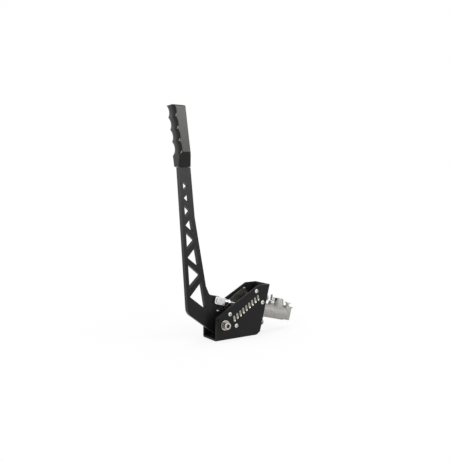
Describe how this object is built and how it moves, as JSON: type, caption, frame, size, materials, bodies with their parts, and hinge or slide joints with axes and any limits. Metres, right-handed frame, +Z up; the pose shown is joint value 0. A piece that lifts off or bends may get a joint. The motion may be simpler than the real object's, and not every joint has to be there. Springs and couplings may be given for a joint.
{
  "type": "hydraulic parking brake lever",
  "caption": "Tall upright hydraulic hand brake: a drilled lever plate with a finger-grooved grip pivots in a folded bracket and pushes a small master cylinder.",
  "frame": {"origin": "centre of the bracket floor's underside", "axes": "+Z up, +X to the rear towards the master cylinder, Y across; the grip's finger grooves face -X"},
  "size_m": [0.325, 0.0802, 0.4965],
  "materials": {
    "black_steel": "satin black powder coat",
    "black_anodised": "satin black anodised",
    "grey_anodised": "dark grey anodised, fine bead-blasted",
    "polished_steel": "polished",
    "zinc_plate": "bright zinc plated",
    "nickel_plate": "nickel plated",
    "bronze": "sintered bronze",
    "cast_aluminium": "as cast, tumbled",
    "spring_steel": "oiled spring steel",
    "rubber": "matte",
    "clear_plastic": "milky shipping plug"
  },
  "bodies": {
    "base": {"bracket": "black_steel", "left_backing_plate": "polished_steel", "right_backing_plate": "polished_steel", "left_plate_screw_1": "zinc_plate", "left_plate_screw_2": "zinc_plate", "left_plate_screw_3": "zinc_plate", "left_plate_screw_4": "zinc_plate", "right_plate_screw_1": "zinc_plate", "right_plate_screw_2": "zinc_plate", "right_plate_screw_3": "zinc_plate", "right_plate_screw_4": "zinc_plate", "pivot_bolt": "nickel_plate", "pivot_washer_near": "nickel_plate", "pivot_washer_far": "nickel_plate", "pivot_nut": "nickel_plate", "pivot_spacer_near": "nickel_plate", "pivot_spacer_far": "nickel_plate", "dust_boot": "rubber", "master_cylinder_body": "cast_aluminium", "flange_bolt_upper": "zinc_plate", "flange_bolt_lower": "zinc_plate", "flange_washer_upper": "zinc_plate", "flange_washer_lower": "zinc_plate", "flange_nut_upper": "zinc_plate", "flange_nut_lower": "zinc_plate", "stop_washer": "nickel_plate", "bore_clip": "spring_steel", "return_spring": "spring_steel", "inlet_barb": "zinc_plate", "port_plug": "clear_plastic"},
    "lever": {"lever_plate": "black_anodised", "pivot_bush": "bronze", "grip": "grey_anodised", "grip_screw_1": "nickel_plate", "grip_screw_2": "nickel_plate"},
    "rod": {"clevis_fork": "zinc_plate", "clevis_pin": "nickel_plate", "clevis_pin_clip": "spring_steel", "jam_nut": "zinc_plate", "push_rod": "zinc_plate"},
    "piston": {"piston": "polished_steel", "primary_cup": "rubber", "secondary_cup": "rubber"}
  },
  "joints": [
    {"name": "lever_pivot", "type": "hinge", "parent": "base", "child": "lever", "pos_m": [-0.031, 0, 0.0332], "axis": [0, 1, 0], "range_deg": [0, 20]},
    {"name": "clevis_hinge", "type": "hinge", "parent": "lever", "child": "rod", "pos_m": [-0.036, 0, 0.08421], "axis": [0, 1, 0], "range_deg": [-18.5, 0]},
    {"name": "piston_slide", "type": "slide", "parent": "base", "child": "piston", "axis": [0.9681, 0, -0.2504], "range_m": [0, 0.0174], "stiffness_N_per_m": 900, "springref_m": -0.004, "deforming": ["return_spring"]}
  ],
  "couplings": [
    {"joint": "clevis_hinge", "follows": "lever_pivot", "ratio": -0.91},
    {"joint": "piston_slide", "follows": "lever_pivot", "m_per_rad": 0.0496}
  ]
}
